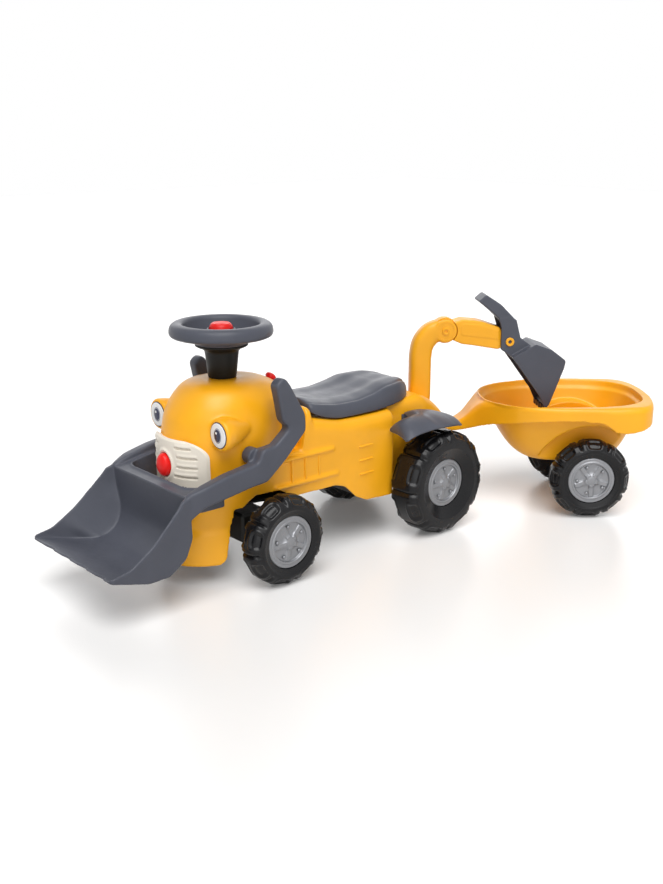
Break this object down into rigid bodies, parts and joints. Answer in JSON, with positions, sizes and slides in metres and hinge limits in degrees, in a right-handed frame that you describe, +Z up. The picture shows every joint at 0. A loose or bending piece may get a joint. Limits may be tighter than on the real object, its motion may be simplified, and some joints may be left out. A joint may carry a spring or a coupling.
{
  "type": "ride on backhoe tractor with trailer",
  "caption": "Child's foot-powered ride-on tractor with a front loader bucket, a rear digger arm and a hitched tipping-tub style trailer.",
  "frame": {"origin": "bottom centre of the bounding box of the whole set, on the floor the wheels stand on", "axes": "+Y from the loader bucket towards the trailer, +X to the tractor's left as seen by its rider, +Z up"},
  "size_m": [0.5114, 1.225, 0.4338],
  "materials": {
    "yellow": "satin moulded",
    "slate": "fine grain moulded",
    "black": "glossy moulded",
    "tyre_black": "glossy blow-moulded",
    "silver": "silver pigmented",
    "cream": "smooth moulded",
    "white": "smooth moulded",
    "navy": "smooth moulded",
    "red": "glossy moulded",
    "steel": "zinc plated"
  },
  "bodies": {
    "tractor": {"body_shell": "yellow", "floor_pan": "black", "front_grille": "cream", "nose_button": "red", "eye_left": "white", "eye_right": "white", "pupil_left": "navy", "pupil_right": "navy", "seat_hinge_pin": "steel", "storage_tray": "black", "rear_axle": "steel", "fender_left": "slate", "fender_right": "slate", "loader_pin_left": "steel", "loader_pin_right": "steel", "mast_socket": "black", "tow_pin": "black", "tow_pin_clip": "steel"},
    "steering": {"steering_wheel": "slate", "steering_column": "black", "steering_shaft": "steel", "front_axle_carrier": "black", "front_axle": "steel", "horn_spring": "steel"},
    "horn": {"horn_button": "red"},
    "sound_button": {"dash_button": "red"},
    "seat": {"seat_lid": "slate"},
    "loader": {"loader_arm_left": "slate", "loader_arm_right": "slate", "loader_cross_plate": "slate", "front_bucket": "slate"},
    "excavator_mast": {"mast": "yellow", "elbow_pin": "steel"},
    "excavator_boom": {"boom": "yellow", "bucket_pin": "yellow"},
    "digging_bucket": {"excavator_bucket": "slate"},
    "trailer": {"trailer_tub": "yellow", "trailer_axle": "steel"},
    "front_left_wheel": {"front_left_tyre": "tyre_black", "front_left_hub_cap": "silver"},
    "front_right_wheel": {"front_right_tyre": "tyre_black", "front_right_hub_cap": "silver"},
    "rear_left_wheel": {"rear_left_tyre": "tyre_black", "rear_left_hub_cap": "silver"},
    "rear_right_wheel": {"rear_right_tyre": "tyre_black", "rear_right_hub_cap": "silver"},
    "trailer_left_wheel": {"trailer_left_tyre": "tyre_black", "trailer_left_hub_cap": "silver"},
    "trailer_right_wheel": {"trailer_right_tyre": "tyre_black", "trailer_right_hub_cap": "silver"}
  },
  "joints": [
    {"name": "steering", "type": "hinge", "parent": "tractor", "child": "steering", "pos_m": [-0.08975, -0.30531, 0.2], "axis": [0, 0, 1], "range_deg": [-12, 12]},
    {"name": "horn_press", "type": "slide", "parent": "steering", "child": "horn", "axis": [0, 0, -1], "range_m": [0, 0.003], "stiffness_N_per_m": 500, "springref_m": -0.002, "deforming": ["horn_spring"]},
    {"name": "sound_press", "type": "slide", "parent": "tractor", "child": "sound_button", "axis": [0, -0.6157, -0.788], "range_m": [0, 0.002], "stiffness_N_per_m": 500, "springref_m": -0.002},
    {"name": "seat_lid", "type": "hinge", "parent": "tractor", "child": "seat", "pos_m": [-0.08975, -0.16331, 0.2755], "axis": [1, 0, 0], "range_deg": [0, 55]},
    {"name": "loader", "type": "hinge", "parent": "tractor", "child": "loader", "pos_m": [-0.08975, -0.32131, 0.225], "axis": [-1, 0, 0], "range_deg": [-10, 28]},
    {"name": "excavator_swing", "type": "hinge", "parent": "tractor", "child": "excavator_mast", "pos_m": [-0.08975, 0.17369, 0.3], "axis": [0, 0, 1], "range_deg": [-6, 18]},
    {"name": "boom", "type": "hinge", "parent": "excavator_mast", "child": "excavator_boom", "pos_m": [-0.06212, 0.21171, 0.36], "axis": [0.809, -0.5878, 0], "range_deg": [-6, 40]},
    {"name": "digging_bucket", "type": "hinge", "parent": "excavator_boom", "child": "digging_bucket", "pos_m": [0.01253, 0.31445, 0.338], "axis": [0.809, -0.5878, 0], "range_deg": [-18, 14]},
    {"name": "trailer_yaw", "type": "hinge", "parent": "tractor", "child": "trailer", "pos_m": [-0.08975, 0.22869, 0.16], "axis": [0, 0, 1], "range_deg": [-24, 13]},
    {"name": "front_left_spin", "type": "hinge", "parent": "steering", "child": "front_left_wheel", "pos_m": [0.04025, -0.28331, 0.0775], "axis": [1, 0, 0], "continuous": true},
    {"name": "front_right_spin", "type": "hinge", "parent": "steering", "child": "front_right_wheel", "pos_m": [-0.21974, -0.28331, 0.0775], "axis": [1, 0, 0], "continuous": true},
    {"name": "rear_left_spin", "type": "hinge", "parent": "tractor", "child": "rear_left_wheel", "pos_m": [0.04025, 0.09569, 0.0984], "axis": [1, 0, 0], "continuous": true},
    {"name": "rear_right_spin", "type": "hinge", "parent": "tractor", "child": "rear_right_wheel", "pos_m": [-0.21974, 0.09569, 0.0984], "axis": [1, 0, 0], "continuous": true},
    {"name": "trailer_left_spin", "type": "hinge", "parent": "trailer", "child": "trailer_left_wheel", "pos_m": [0.17986, 0.38202, 0.0775], "axis": [0.7705, -0.6374, 0], "continuous": true},
    {"name": "trailer_right_spin", "type": "hinge", "parent": "trailer", "child": "trailer_right_wheel", "pos_m": [0.01035, 0.52225, 0.0775], "axis": [0.7705, -0.6374, 0], "continuous": true}
  ]
}
